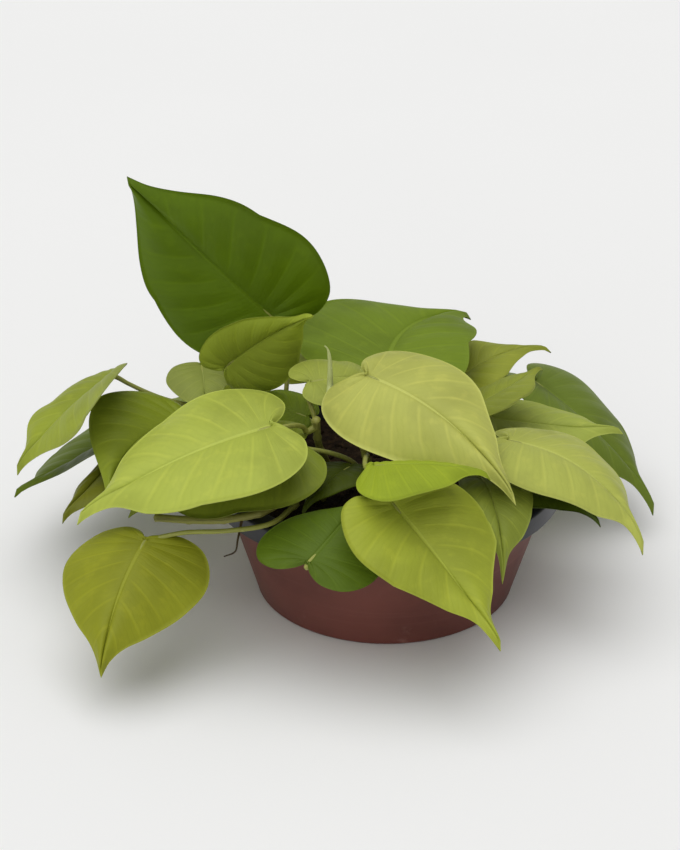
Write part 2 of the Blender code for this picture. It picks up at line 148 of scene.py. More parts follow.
class Leaf:
    """A blade from its notch to its tip, its petiole's place on a vine, and its colours."""

    def __init__(self, name, base, tip, vine, at, slot, tone, roll=0, left=1.0, right=1.0,
                 arch=0.06, fold=0.0, sweep=0.0, full=0.0, tail=0.35, twist=0, curl=(0, 0, -2),
                 via=(), quilt=1.0, wave=1.0, ribs=1.0, patches=()):
        self.name = name
        self.base = np.array(base, float) * MM
        self.tip = np.array(tip, float) * MM
        self.vine = vine
        self.at = at
        self.slot = slot
        self.tone = tone
        self.roll = math.radians(roll)
        self.left = left
        self.right = right
        self.arch = arch
        self.fold = fold
        self.sweep = sweep
        self.full = full
        self.tail = tail
        self.twist = math.radians(twist)
        self.curl = np.array(curl, float) * MM
        self.via = [np.array(point, float) * MM for point in via]
        self.quilt = quilt
        self.wave = wave
        self.ribs = ribs
        self.patches = patches


# A patch is (along, across, radius, colour, strength), in shares of the leaf's length
LEAVES = (
    Leaf("leaf_01", (-55, 72, 108), (-126, 78, 181), "vine_back_left", 0.5, "leaf_deep", (92, 118, 10),
         roll=-104, left=1.02, right=1.06, arch=-0.02, fold=0.03, sweep=0.035, full=0.17, tail=0.0,
         curl=(0, 0, 0)),
    Leaf("leaf_02", (1, 37, 92), (46.5, 113, 92), "vine_back", 0.5, "leaf_green", (112, 134, 30),
         left=1.5, right=1.06, arch=0.08, fold=0.05, sweep=0.14, full=0.35, tail=0.13),
    Leaf("leaf_03", (-78, 38, 97), (-34, 8, 139), "vine_back_left", 0.75, "leaf_lime", (145, 160, 48),
         roll=120, left=0.6, right=0.82, arch=-0.05, fold=0.05, full=-0.1),
    Leaf("leaf_04", (-91, 57, 89.5), (-88, 26, 75), "vine_back_left", 0.9, "leaf_green", (142, 152, 70),
         roll=12, left=0.9, right=1.2, arch=0.04, sweep=0.03, full=0.0),
    Leaf("leaf_05", (-133.5, 38, 92.5), (-178, 5, 56.5), "vine_back_left", 0.85, "leaf_lime", (148, 160, 52),
         roll=17, left=1.4, right=0.83, arch=0.1, fold=0.1, sweep=0.11, full=0.48, tail=0.2, twist=-27,
         via=((-92, 43, 73), (-112, 40, 80))),
    Leaf("leaf_06", (-129, 55, 58), (-182, 15, 39), "vine_back_left", 1.0, "leaf_deep", (92, 110, 8),
         roll=25, right=1.15, arch=-0.03, fold=0.1, sweep=0.02, full=0.25),
    Leaf("leaf_07", (-97, 24, 75.5), (-130, -36, 63), "vine_left", 0.75, "leaf_green", (130, 144, 38),
         roll=-16, left=0.6, right=1.02, arch=0.05, fold=0.1, sweep=-0.12, full=0.07, tail=0.0),
    Leaf("leaf_08", (-9.5, -12, 115.5), (57, -67, 78.5), "vine_middle", 1.0, "leaf_pale", (183, 187, 92),
         roll=25, left=0.74, right=0.73, arch=0.07, fold=-0.4, sweep=0.06, full=-0.11, tail=0.25),
    Leaf("leaf_09", (-53, -38, 102), (-141, -62, 66), "vine_middle_left", 0.9, "leaf_pale", (172, 184, 76),
         roll=-5, arch=0.08, fold=-0.05, sweep=0.03, full=0.15),
    Leaf("leaf_10", (-123, 22, 64), (-151, -40, 54.5), "vine_left", 1.0, "leaf_green", (104, 108, 26),
         roll=12, left=0.9, right=0.24, arch=0.02, sweep=0.0, full=0.5, tail=0.0),
    Leaf("leaf_11", (-42, -30, 88), (-119, -50, 63), "vine_middle", 0.6, "leaf_green", (125, 138, 42),
         roll=-4, arch=0.05, fold=-0.15, full=0.25),
    Leaf("leaf_12", (-109, -74, 63), (-126, -124, 24), "vine_front_left", 0.42, "leaf_lime", (140, 145, 34),
         roll=-5, left=1.08, right=1.15, arch=0.05, fold=-0.45, sweep=-0.04, tail=0.12,
         via=((-53, -68, 68), (-72, -73, 67), (-92, -72, 65.5))),
    Leaf("leaf_13", (-36, 0, 106.5), (2, 22, 93.5), "vine_middle_left", 0.8, "leaf_lime", (155, 165, 70),
         roll=15, left=0.9, right=0.9, arch=0.16, fold=-0.15, sweep=-0.09, full=0.4),
    Leaf("leaf_14", (-7, -60, 93), (45, -68, 92), "vine_middle", 0.92, "leaf_lime", (150, 168, 40),
         roll=-15, left=0.68, right=1.35, fold=-0.3, sweep=-0.04, full=0.05),
    Leaf("leaf_15", (1, -76, 83), (47, -130, 41.5), "vine_front", 0.5, "leaf_lime", (158, 168, 54),
         right=0.94, arch=-0.02, fold=0.03, sweep=0.04, full=-0.2),
    Leaf("leaf_16", (43, -35, 74.5), (51, -81.5, 46.3), "vine_right", 0.4, "leaf_green", (135, 147, 54),
         roll=-6, left=0.82, right=0.5, arch=0.19, fold=-0.05, full=0.12),
    Leaf("leaf_17", (56, -20, 86), (117, -58, 48), "vine_right", 1.0, "leaf_lime", (176, 183, 86),
         roll=-8, arch=0.12, fold=-0.15, sweep=0.08, full=0.05),
    Leaf("leaf_18", (49, 40, 69), (117, 26, 68), "vine_back_right", 0.55, "leaf_lime", (160, 172, 75),
         roll=8, left=0.65, arch=0.01, fold=-0.05, sweep=-0.04, full=0.2),
    Leaf("leaf_19", (34, 66, 73), (86, 84, 86), "vine_back_right", 0.75, "leaf_lime", (145, 153, 52),
         arch=0.09, fold=0.03, sweep=0.07, full=-0.3),
    Leaf("leaf_20", (41, 28, 79), (78, 43, 95), "vine_back_right", 0.42, "leaf_lime", (142, 152, 54),
         roll=-15, right=1.35, arch=0.02, sweep=-0.09, full=0.5),
    Leaf("leaf_21", (78, 84, 68), (138, 46, 12), "vine_back_right", 1.0, "leaf_deep", (106, 124, 40),
         roll=-10, left=0.95, right=0.65, arch=0.07, fold=-0.05, full=0.1),
    Leaf("leaf_22", (60, -22, 65.5), (97, -57, 62), "vine_right", 0.8, "leaf_deep", (62, 78, 12),
         left=0.25, right=1.1, arch=0.09, full=-0.1),
    Leaf("leaf_23", (-36, -99, 65.3), (-14, -51, 70), "vine_front", 0.95, "leaf_deep", (84, 106, 22),
         roll=9, left=1.2, right=1.12, arch=0.1, fold=-0.25, sweep=-0.06),
    Leaf("leaf_24", (-17, -24, 74), (-39, -60, 69), "vine_front", 0.6, "leaf_deep", (66, 78, 8),
         roll=10, left=1.0, right=1.0, arch=0.07),
    Leaf("leaf_25", (-38, 22, 77.5), (-78, 31, 81.5), "vine_middle_left", 0.5, "leaf_green", (104, 122, 24),
         roll=-8, left=0.9, right=0.9),
    Leaf("leaf_26", (-62, 74, 74), (-84, 132, 40), "vine_back_left", 0.6, "leaf_lime", (140, 152, 44),
         arch=0.1, fold=-0.2),
    Leaf("leaf_27", (-22, 88, 82), (-34, 158, 52), "vine_back", 1.0, "leaf_pale", (170, 180, 76),
         arch=0.1, fold=-0.15),
    Leaf("leaf_28", (18, 98, 70), (22, 158, 34), "vine_back", 0.7, "leaf_lime", (146, 158, 50),
         left=0.8, right=0.8, arch=0.1, fold=-0.2),
    Leaf("leaf_29", (66, 90, 66), (92, 142, 30), "vine_back_right", 0.85, "leaf_green", (112, 130, 34),
         left=0.8, right=0.8, arch=0.08, fold=-0.2),
    Leaf("leaf_30", (-106, 72, 58), (-158, 92, 24), "vine_back_left", 0.8, "leaf_green", (118, 134, 36),
         arch=0.08, fold=-0.2),
)


def shade(red, green, blue):
    """A colour as it shows on a screen, 0 to 255, as the linear colour that a shader takes."""
    def linear(value):
        value = value / 255
        return value / 12.92 if value <= 0.04045 else ((value + 0.055) / 1.055) ** 2.4
    return (linear(red), linear(green), linear(blue), 1.0)


def toned(colour, brighter=1.0, yellow=0.0, grey=0.0):
    """A screen colour made brighter or darker, yellower or greyer."""
    red, green, blue = (value * brighter for value in colour)
    middle = (red + green + blue) / 3
    mixed = [value + (middle - value) * grey for value in (red * (1 + yellow), green, blue)]
    return tuple(min(max(value, 0), 250) for value in mixed)


class Number:
    """A number that changes over a surface. Sums on it add Math nodes."""

    def __init__(self, look, socket):
        self.look = look
        self.socket = socket

    def sum_of(self, operation, *values):
        made = self.look.node("Math", {"operation": operation}, dict(enumerate(values)))
        return Number(self.look, made.outputs[0])

    def __add__(self, other):
        return self.sum_of("ADD", self, other)

    def __radd__(self, other):
        return self.sum_of("ADD", other, self)

    def __sub__(self, other):
        return self.sum_of("SUBTRACT", self, other)

    def __rsub__(self, other):
        return self.sum_of("SUBTRACT", other, self)

    def __mul__(self, other):
        return self.sum_of("MULTIPLY", self, other)

    def __rmul__(self, other):
        return self.sum_of("MULTIPLY", other, self)

    def __truediv__(self, other):
        return self.sum_of("DIVIDE", self, other)

    def __pow__(self, other):
        return self.sum_of("POWER", self, other)

    def __abs__(self):
        return self.sum_of("ABSOLUTE", self)

    def part(self):
        """What is left of the number after its whole part."""
        return self.sum_of("FRACT", self)

    def lowest(self, other):
        return self.sum_of("MINIMUM", self, other)

    def highest(self, other):
        return self.sum_of("MAXIMUM", self, other)

    def step(self, low, high, at_low=0.0, at_high=1.0):
        """A smooth step from one value, where the number is low, to another, where it is high."""
        made = self.look.node("MapRange", {"interpolation_type": "SMOOTHSTEP"},
                              {"Value": self, "From Min": low, "From Max": high,
                               "To Min": at_low, "To Max": at_high})
        return Number(self.look, made.outputs["Result"])


class Look:
    """A material and the nodes in it."""

    def __init__(self, name):
        self.material = bpy.data.materials.new(name)
        self.material.use_nodes = True
        self.tree = self.material.node_tree
        self.tree.nodes.clear()

    def node(self, kind, settings=None, inputs=None):
        """A node of a type, with its settings made first and then the values or links of its sockets."""
        made = self.tree.nodes.new("ShaderNode" + kind)
        for key, value in (settings or {}).items():
            if key == "stops":
                self.set_stops(made.color_ramp, value)
            else:
                setattr(made, key, value)
        for key, value in (inputs or {}).items():
            if isinstance(value, Number):
                self.tree.links.new(value.socket, made.inputs[key])
            elif isinstance(value, bpy.types.NodeSocket):
                self.tree.links.new(value, made.inputs[key])
            else:
                made.inputs[key].default_value = value
        return made

    @staticmethod
    def set_stops(ramp, stops):
        while len(ramp.elements) < len(stops):
            ramp.elements.new(0.5)
        for element, (place, colour) in zip(ramp.elements, stops):
            element.position = place
            element.color = colour

    def attribute(self, name):
        """The three numbers of a named vector on the mesh."""
        made = self.node("Attribute", {"attribute_name": name})
        return self.split(made.outputs["Vector"])

    def split(self, vector):
        made = self.node("SeparateXYZ", None, {"Vector": vector})
        return [Number(self, socket) for socket in made.outputs]

    def joined(self, x, y, z):
        return self.node("CombineXYZ", None, {"X": x, "Y": y, "Z": z}).outputs["Vector"]

    def place(self):
        """The place in the object, in metres."""
        return self.node("TexCoord").outputs["Object"]

    def noise(self, scale, detail=3.0, vector=None, rough=0.5):
        made = self.node("TexNoise", {"noise_dimensions": "3D"},
                         {"Vector": vector or self.place(), "Scale": scale, "Detail": detail,
                          "Roughness": rough})
        return Number(self, made.outputs["Fac"])

    def cells(self, scale, vector=None):
        made = self.node("TexVoronoi", {"feature": "F1"}, {"Vector": vector or self.place(), "Scale": scale})
        return Number(self, made.outputs["Distance"])

    def mix(self, first, second, share):
        """A colour between two, by a share that may change over the surface."""
        made = self.node("Mix", {"data_type": "RGBA", "clamp_factor": True},
                         {0: share, 6: first, 7: second})
        return made.outputs[2]

    def bump(self, height, distance, strength=1.0):
        made = self.node("Bump", None, {"Height": height, "Distance": distance, "Strength": strength})
        return made.outputs["Normal"]

    def finish(self, colour, roughness, normal=None, specular=0.35):
        inputs = {"Base Color": colour, "Roughness": roughness, "Specular IOR Level": specular}
        if normal is not None:
            inputs["Normal"] = normal
        shader = self.node("BsdfPrincipled", None, inputs)
        self.node("OutputMaterial", None, {"Surface": shader.outputs[0]})
        return self.material


def leaf_look(leaf):
    """Living leaf skin: main colour, paler veins, a paler margin that is partly the thin edge's own colour and
    partly painted highlight, a greyer underside, and its own patches.
    """
    look = Look(leaf.name + "_skin")
    u, v, under = look.attribute("place")
    row, reach, _ = look.attribute("growth")
    tone = leaf.tone
    main = shade(*tone)
    cloud = look.noise(28, 3)
    fine = look.noise(160, 4)
    colour = look.mix(main, shade(*toned(tone, 0.86)), cloud.step(0.42, 0.66) * 0.6)
    colour = look.mix(colour, shade(*toned(tone, 1.1, yellow=0.03)), fine.step(0.5, 0.75) * 0.3)
    between = abs((row + 0.5).part() - 0.5)
    vein = between.step(0.0, 0.11, 1.0, 0.0) * reach.step(0.04, 0.2) * reach.step(0.7, 1.0, 1.0, 0.25)
    small = abs((row * 4 + (fine - 0.5) * 1.5).part() - 0.5)
    small_vein = small.step(0.0, 0.3, 1.0, 0.0)
    half_rib = 0.016 - u * 0.011
    midrib = (abs(v) / half_rib).step(0.5, 1.2, 1.0, 0.0)
    colour = look.mix(colour, shade(*toned(tone, 1.1, yellow=0.02)), vein * 0.35)
    colour = look.mix(colour, shade(*toned(tone, 0.93)), small_vein * 0.2)
    colour = look.mix(colour, shade(*toned(tone, 1.14, grey=0.12)), midrib * 0.6)
    for along, across, radius, patch, strength in leaf.patches:
        away = ((u - along) ** 2 + (v - across) ** 2) ** 0.5
        colour = look.mix(colour, shade(*patch), away.step(radius * 0.25, radius, 1.0, 0.0) * strength)
    # Paler margin: partly the leaf's thin translucent edge, partly painted highlight where the edge catches light
    colour = look.mix(colour, shade(*toned(tone, 1.12, grey=0.1)), reach.step(0.965, 0.99) * 0.55)
    below = look.mix(shade(*toned(tone, 1.05, grey=0.22)), shade(*toned(tone, 1.2, grey=0.15)), midrib)
    colour = look.mix(colour, below, under)
    height = fine * 0.25 - vein * 0.5 - midrib * 0.9 - small_vein * 0.18
    roughness = 0.42 + cloud * 0.12 + under * 0.15
    normal = look.bump(height, 0.35 * MM, 0.6)
    return look.finish(colour, roughness, normal, specular=0.16)


def petiole_look(name, tone, end_tone):
    """A petiole or a vine: fine streaks along it, and a second colour towards its far end."""
    look = Look(name)
    along, around, share = look.attribute("growth")
    streak = look.noise(1.0, 3, look.joined(along * 0.05, around * 9, 0.0))
    specks = look.noise(420, 2)
    colour = look.mix(shade(*tone), shade(*end_tone), share.step(0.1, 0.9))
    colour = look.mix(colour, shade(*toned(tone, 0.72)), streak.step(0.5, 0.72) * 0.6)
    colour = look.mix(colour, shade(*toned(end_tone, 1.15, grey=0.2)), specks.step(0.62, 0.72) * 0.5)
    normal = look.bump(streak + specks * 0.4, 0.2 * MM, 0.5)
    return look.finish(colour, 0.38 + streak * 0.2, normal, specular=0.35)


def pot_look():
    """Matt brown-red moulded plastic, a little uneven in colour, with faint turning marks and scuffs."""
    look = Look("terracotta_plastic")
    x, y, z = look.split(look.place())
    cloud = look.noise(22, 4)
    grain = look.noise(900, 2)
    marks = look.noise(1.0, 3, look.joined(x * 6, y * 6, z * 260))
    dust = look.noise(60, 5, rough=0.65)
    colour = look.mix(shade(112, 60, 50), shade(94, 48, 40), cloud.step(0.35, 0.7))
    colour = look.mix(colour, shade(132, 82, 72), marks.step(0.55, 0.8) * 0.35)
    colour = look.mix(colour, shade(150, 112, 100), dust.step(0.6, 0.78) * z.step(0.0, 0.02, 0.5, 0.15))
    normal = look.bump(grain * 0.3 + marks * 0.7, 0.15 * MM, 0.4)
    return look.finish(colour, 0.46 + cloud * 0.12, normal, specular=0.4)


def liner_look():
    """The near-black blue plastic of the growing pot."""
    look = Look("night_blue_plastic")
    cloud = look.noise(30, 4)
    scratch = look.noise(1.0, 3, look.joined(look.split(look.place())[2] * 900, cloud * 4, 0.0))
    colour = look.mix(shade(34, 36, 46), shade(22, 23, 30), cloud.step(0.4, 0.65))
    colour = look.mix(colour, shade(62, 66, 78), scratch.step(0.62, 0.8) * 0.3)
    normal = look.bump(look.noise(700, 2) * 0.5 + scratch * 0.3, 0.12 * MM, 0.4)
    return look.finish(colour, 0.34 + cloud * 0.15, normal, specular=0.5)


def soil_look():
    """Damp peat, uneven in tone, with paler bits."""
    look = Look("potting_soil")
    lumps = look.noise(180, 6, rough=0.7)
    bits = look.cells(520)
    colour = look.mix(shade(38, 27, 18), shade(70, 52, 36), lumps.step(0.42, 0.68))
    colour = look.mix(colour, shade(120, 98, 72), bits.step(0.0, 0.16, 1.0, 0.0) * 0.5)
    normal = look.bump(lumps + bits * 0.4, 1.2 * MM, 0.9)
    return look.finish(colour, 0.9 + lumps * 0.1, normal, specular=0.2)


def floor_look():
    look = Look("pale_floor")
    cloud = look.noise(3, 2)
    colour = look.mix(shade(246, 246, 245), shade(243, 243, 242), cloud)
    return look.finish(colour, 0.9, specular=0.1)


def add_mesh(name, vertices, faces, look, attributes=None):
    """A smooth mesh object, with its named vectors."""
    mesh = bpy.data.meshes.new(name)
    mesh.from_pydata([tuple(map(float, vertex)) for vertex in vertices], [], faces)
    mesh.polygons.foreach_set("use_smooth", [True] * len(mesh.polygons))
    for key, values in (attributes or {}).items():
        layer = mesh.attributes.new(key, "FLOAT_VECTOR", "POINT")
        layer.data.foreach_set("vector", np.asarray(values, np.float32).ravel())
    mesh.materials.append(look)
    mesh.validate()
    made = bpy.data.objects.new(name, mesh)
    bpy.context.scene.collection.objects.link(made)
    return made


def add_piece(name, vertices, faces, look, node=None, attributes=None):
    """A piece of the plant or its pots, which rides with the body and may stand for a CAD node."""
    made = add_mesh(name, vertices, faces, look, attributes)
    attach(made, BODY)
    if node:
        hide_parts(node)
    return made


def unit(vectors):
    size = np.linalg.norm(vectors, axis=-1, keepdims=True)
    return vectors / np.maximum(size, 1e-12)


def through_points(points, steps):
    """A smooth curve through the points, with this many steps between each two."""
    points = [np.array(point, float) for point in points]
    ends = [2 * points[0] - points[1], *points, 2 * points[-1] - points[-2]]
    found = []
    for a, b, c, d in zip(ends, ends[1:], ends[2:], ends[3:]):
        for step in range(steps):
            t = step / steps
            found.append(0.5 * (2 * b + (c - a) * t + (2 * a - 5 * b + 4 * c - d) * t**2
                                + (3 * b - a - 3 * c + d) * t**3))
    found.append(points[-1])
    return np.array(found)


def even_points(points, spacing):
    """The same curve with points this far apart."""
    run = np.concatenate([[0], np.cumsum(np.linalg.norm(np.diff(points, axis=0), axis=1))])
    places = np.linspace(0, run[-1], max(int(run[-1] / spacing), 4) + 1)
    return np.stack([np.interp(places, run, points[:, axis]) for axis in range(3)], axis=1)


def along(path, share):
    """The point and the direction at a share of the path's length."""
    run = np.concatenate([[0], np.cumsum(np.linalg.norm(np.diff(path, axis=0), axis=1))])
    place = share * run[-1]
    index = min(int(np.searchsorted(run, place, side="right")) - 1, len(path) - 2)
    heading = unit(path[index + 1] - path[index])
    return path[index] + heading * (place - run[index]), heading


def sweep(path, radii, sides=12, flatten=None):
    """A closed round stem along the path: its vertices, faces, and growth (mm along, round, share along)."""
    heading = unit(np.gradient(path, axis=0))
    side = unit(np.cross(heading[0], (0.31, 0.2, 0.93)))
    vertices = []
    growth = []
    run = np.concatenate([[0], np.cumsum(np.linalg.norm(np.diff(path, axis=0), axis=1))])
    for index, (centre, forward, radius) in enumerate(zip(path, heading, radii)):
        side = unit(side - np.dot(side, forward) * forward)
        other = np.cross(forward, side)
        for corner in range(sides):
            angle = 2 * math.pi * corner / sides
            wide = radius * (flatten[index] if flatten is not None else 1)
            vertices.append(centre + math.cos(angle) * wide * side + math.sin(angle) * radius * other)
            growth.append((run[index] / MM, corner / sides, run[index] / run[-1]))
    faces = []
    for ring in range(len(path) - 1):
        for corner in range(sides):
            following = (corner + 1) % sides
            low = ring * sides
            high = low + sides
            faces.append((low + corner, low + following, high + following, high + corner))
    first = len(vertices)
    vertices.append(path[0] - heading[0] * radii[0] * 0.3)
    vertices.append(path[-1] + heading[-1] * radii[-1] * 0.5)
    growth.append((0, 0, 0))
    growth.append((run[-1] / MM, 0, 1))
    top = (len(path) - 1) * sides
    for corner in range(sides):
        following = (corner + 1) % sides
        faces.append((first, following, corner))
        faces.append((first + 1, top + corner, top + following))
    return vertices, faces, growth


def turned(profile, steps=TURN_STEPS):
    """A closed turned shape from a profile of (radius, height) that runs from the axis round to the axis."""
    vertices = []
    rings = []
    for radius, height in profile:
        if radius < 1e-9:
            rings.append([len(vertices)])
            vertices.append((0, 0, height))
            continue
        rings.append(list(range(len(vertices), len(vertices) + steps)))
        for step in range(steps):
            angle = 2 * math.pi * step / steps
            vertices.append((radius * math.cos(angle), radius * math.sin(angle), height))
    faces = []
    for upper, lower in zip(rings, rings[1:]):
        for step in range(steps):
            following = (step + 1) % steps
            if len(upper) == 1:
                faces.append((upper[0], lower[step], lower[following]))
            elif len(lower) == 1:
                faces.append((upper[step], lower[0], upper[following]))
            else:
                faces.append((upper[step], lower[step], lower[following], upper[following]))
    return vertices, faces


def rounded(profile, radius=0.5 * MM, steps=3):
    """The profile with each inner corner cut into a small curve."""
    found = [profile[0]]
    for before, corner, after in zip(profile, profile[1:], profile[2:]):
        corner = np.array(corner)
        into = np.array(before) - corner
        out = np.array(after) - corner
        reach = min(radius, 0.4 * np.linalg.norm(into), 0.4 * np.linalg.norm(out))
        start = corner + reach * unit(into)
        end = corner + reach * unit(out)
        for step in range(steps + 1):
            t = step / steps
            found.append(tuple((1 - t)**2 * start + 2 * t * (1 - t) * corner + t**2 * end))
    found.append(profile[-1])
    return found


def build_outer_pot():
    lean = (POT_TOP_RADIUS - POT_BASE_RADIUS) / POT_HEIGHT
    inner_base = POT_BASE_RADIUS + lean * POT_FLOOR - POT_WALL
    profile = [
        (0, POT_FLOOR),
        (inner_base - POT_CORNER / 2, POT_FLOOR),
        (inner_base + lean * POT_CORNER / 2, POT_FLOOR + POT_CORNER / 2),
        (POT_TOP_RADIUS - POT_WALL, POT_HEIGHT),
        (POT_TOP_RADIUS, POT_HEIGHT),
    ]
    for height in (48, 40, 32, 24, 16, 8):
        profile.append((POT_BASE_RADIUS + lean * height * MM, height * MM))
    for step in range(7):
        angle = step / 6 * math.pi / 2
        corner_x = POT_BASE_RADIUS - POT_CORNER + lean * POT_CORNER
        profile.append((corner_x + POT_CORNER * math.cos(angle), POT_CORNER * (1 - math.sin(angle))))
    profile += [(POT_BASE_RADIUS - 5 * MM, 0), (POT_BASE_RADIUS - 6.5 * MM, 0.8 * MM), (0, 0.8 * MM)]
    vertices, faces = turned(rounded(profile, 0.5 * MM))
    add_piece("outer_pot", vertices, faces, pot_look(), node="pot")


def liner_inner_radius(height):
    lean = (LINER_TOP_RADIUS - LINER_BASE_RADIUS) / (LINER_RIM_TOP - LINER_FLOOR_Z)
    return LINER_BASE_RADIUS + lean * (height - LINER_FLOOR_Z) - LINER_WALL


def build_growing_pot():
    rim_inside = POT_TOP_RADIUS + 1.2 * MM
    web = POT_HEIGHT + TOUCH_GAP
    floor_top = LINER_FLOOR_Z + LINER_WALL
    profile = [
        (0, floor_top),
        (liner_inner_radius(floor_top), floor_top),
        (liner_inner_radius(LINER_RIM_TOP), LINER_RIM_TOP - 1 * MM),
        (liner_inner_radius(LINER_RIM_TOP) + 1 * MM, LINER_RIM_TOP),
        (LINER_RIM_RADIUS - 1.6 * MM, LINER_RIM_TOP),
        (LINER_RIM_RADIUS - 0.3 * MM, LINER_RIM_TOP - 1.2 * MM),
        (LINER_RIM_RADIUS, LINER_RIM_BOTTOM),
        (rim_inside + 1.2 * MM, LINER_RIM_BOTTOM),
        (rim_inside, web),
        (liner_inner_radius(web) + LINER_WALL, web),
        (LINER_BASE_RADIUS, LINER_FLOOR_Z),
        (0, LINER_FLOOR_Z),
    ]
    vertices, faces = turned(rounded(profile, 0.9 * MM, 4))
    add_piece("growing_pot_shell", vertices, faces, liner_look(), node="growing_pot")


def build_soil(look):
    """A lumpy surface with crumbs on it, over a plain body."""
    chance = random.Random(5)
    rings = 26
    edge = liner_inner_radius(SOIL_TOP) - TOUCH_GAP
    bottom = LINER_FLOOR_Z + LINER_WALL + TOUCH_GAP
    profile = [(0, SOIL_TOP + SOIL_CROWN)]
    for ring in range(1, rings + 1):
        share = ring / rings
        profile.append((edge * share, SOIL_TOP + SOIL_CROWN * (1 - share**2)))
    profile += [(liner_inner_radius(bottom) - TOUCH_GAP, bottom), (0, bottom)]
    vertices, faces = turned(profile, 96)
    moved = []
    for x, y, z in vertices:
        if z > SOIL_TOP - 1 * MM:
            lump = math.sin(x * 410 + 1.3 * math.sin(y * 300)) * math.sin(y * 370 + math.sin(x * 260))
            z += (0.7 * lump + chance.uniform(-0.35, 0.35)) * MM
        moved.append((x, y, z))
    crumbs = []
    for _ in range(CRUMBS):
        reach = edge * math.sqrt(chance.random()) * 0.97
        angle = chance.uniform(0, 2 * math.pi)
        size = chance.uniform(0.6, 2.4) * MM
        crumbs.append((reach * math.cos(angle), reach * math.sin(angle), size, chance.random()))
    for x, y, size, turn in crumbs:
        height = SOIL_TOP + SOIL_CROWN * (1 - (x * x + y * y) / edge**2) + size * 0.25
        first = len(moved)
        for px, py, pz in ((1, 0, 0), (0, 1, 0), (-1, 0, 0), (0, -1, 0), (0, 0, 0.8), (0, 0, -0.8)):
            bent = math.cos(turn * 6.3) * px - math.sin(turn * 6.3) * py * 0.7
            other = math.sin(turn * 6.3) * px + math.cos(turn * 6.3) * py * 0.7
            moved.append((x + bent * size, y + other * size, height + pz * size * 0.7))
        for a, b, c in ((0, 1, 4), (1, 2, 4), (2, 3, 4), (3, 0, 4), (1, 0, 5), (2, 1, 5), (3, 2, 5), (0, 3, 5)):
            faces.append((first + a, first + b, first + c))
    add_piece("potting_soil_top", moved, faces, look, node="soil")


def vine_path(name, steps=3):
    return through_points([np.array(point, float) * MM for point in VINES[name]], steps)


def build_vine(name, look, root_look, shoot_look):
    """A stem with swollen nodes, with the air roots and rolled new leaf that belong to it."""
    path = even_points(vine_path(name, 12), 0.8 * MM)
    count = len(path)
    radii = []
    for index in range(count):
        near_node = abs(((index / count * (len(VINES[name]) - 1)) + 0.5) % 1 - 0.5)
        radii.append(VINE_RADIUS * (0.94 + 0.2 * math.exp(-(near_node / 0.09)**2)))
    vertices, faces, growth = sweep(path, radii, 16)
    add_piece(name + "_stem", vertices, faces, look, node=name, attributes={"growth": growth})
    for number, (owner, points) in enumerate(AIR_ROOTS):
        if owner == name:
            route = even_points(through_points([np.array(point, float) * MM for point in points], 8), 0.7 * MM)
            thin = [ROOT_RADIUS * (1.2 - 0.7 * i / len(route)) for i in range(len(route))]
            vertices, faces, growth = sweep(route, thin, 8)
            add_piece(f"air_root_{number}", vertices, faces, root_look, attributes={"growth": growth})
    if name in SHOOTS:
        points = [path[-6], path[-1], *(np.array(point, float) * MM for point in SHOOTS[name])]
        route = even_points(through_points(points, 10), 0.7 * MM)
        share = np.linspace(0, 1, len(route))
        thick = VINE_RADIUS * np.interp(share, (0, 0.2, 0.55, 0.9, 1), (0.7, 0.75, 0.95, 0.45, 0.12))
        vertices, faces, growth = sweep(route, thick, 14)
        add_piece("rolled_new_leaf", vertices, faces, shoot_look, attributes={"growth": growth})


def smoothed_abs(value):
    return np.hypot(value, MIDRIB_ROUNDING) - MIDRIB_ROUNDING


class Blade:
    """A leaf's surface: along its length, across it, and above its chord, as shares of its length."""

    def __init__(self, leaf):
        self.leaf = leaf
        chord = leaf.tip - leaf.base
        self.length = float(np.linalg.norm(chord))
        self.along = chord / self.length
        up = np.array((0, 0, 1.0))
        level = unit(up - up.dot(self.along) * self.along)
        side = np.cross(level, self.along)
        turn, lift = math.cos(leaf.roll), math.sin(leaf.roll)
        self.across = turn * side + lift * level
        self.normal = turn * level - lift * side

    def points(self, u, v, ring=1.0, relief=0.0):
        leaf = self.leaf
        fullness = np.sin(np.pi * np.clip((u - FULL_START) / (1 - FULL_START), 0, 1))
        narrowing = np.sin(np.pi * np.clip((u - TAIL_START) / (1 - TAIL_START), 0, 1)) ** 2
        v = v * np.where(v > 0, leaf.left, leaf.right) * (1 + leaf.full * fullness) * (1 - leaf.tail * narrowing)
        bow = 4 * u * (1 - u)
        pillow = PILLOW * 4 * ring * (1 - ring)
        turn = leaf.twist * (u - 0.5)
        height = leaf.arch * bow + leaf.fold * smoothed_abs(v) + pillow + relief + v * np.sin(turn)
        sideways = v * np.cos(turn) + leaf.sweep * bow
        hook = np.clip((u - CURL_START) / (1 - CURL_START), 0, None) ** 2
        place = (np.multiply.outer(u, self.along) + np.multiply.outer(sideways, self.across)
                 + np.multiply.outer(height, self.normal))
        return leaf.base + self.length * place + np.multiply.outer(hook, leaf.curl)


def blade_rows():
    """Each row runs from the midrib to the margin as a side vein does: along, across, row and reach."""
    half = through_points(HALF_OUTLINE, 12)
    run = np.concatenate([[0], np.cumsum(np.linalg.norm(np.diff(half[:, :2], axis=0), axis=1))])
    rows = np.linspace(0, 1, ROWS + 1)
    edge_u, edge_v, rib_u = (np.interp(rows * run[-1], run, half[:, axis])[:, None] for axis in range(3))
    reach = (np.linspace(0, 1, COLUMNS + 1) ** 1.15)[None, :]
    bend_u = rib_u + 0.36 * (edge_u - rib_u)
    bend_v = 0.58 * edge_v
    u = (1 - reach)**2 * rib_u + 2 * reach * (1 - reach) * bend_u + reach**2 * edge_u
    v = 2 * reach * (1 - reach) * bend_v + reach**2 * edge_v
    return u, v, np.broadcast_to(rows[:, None], u.shape), np.broadcast_to(reach, u.shape)


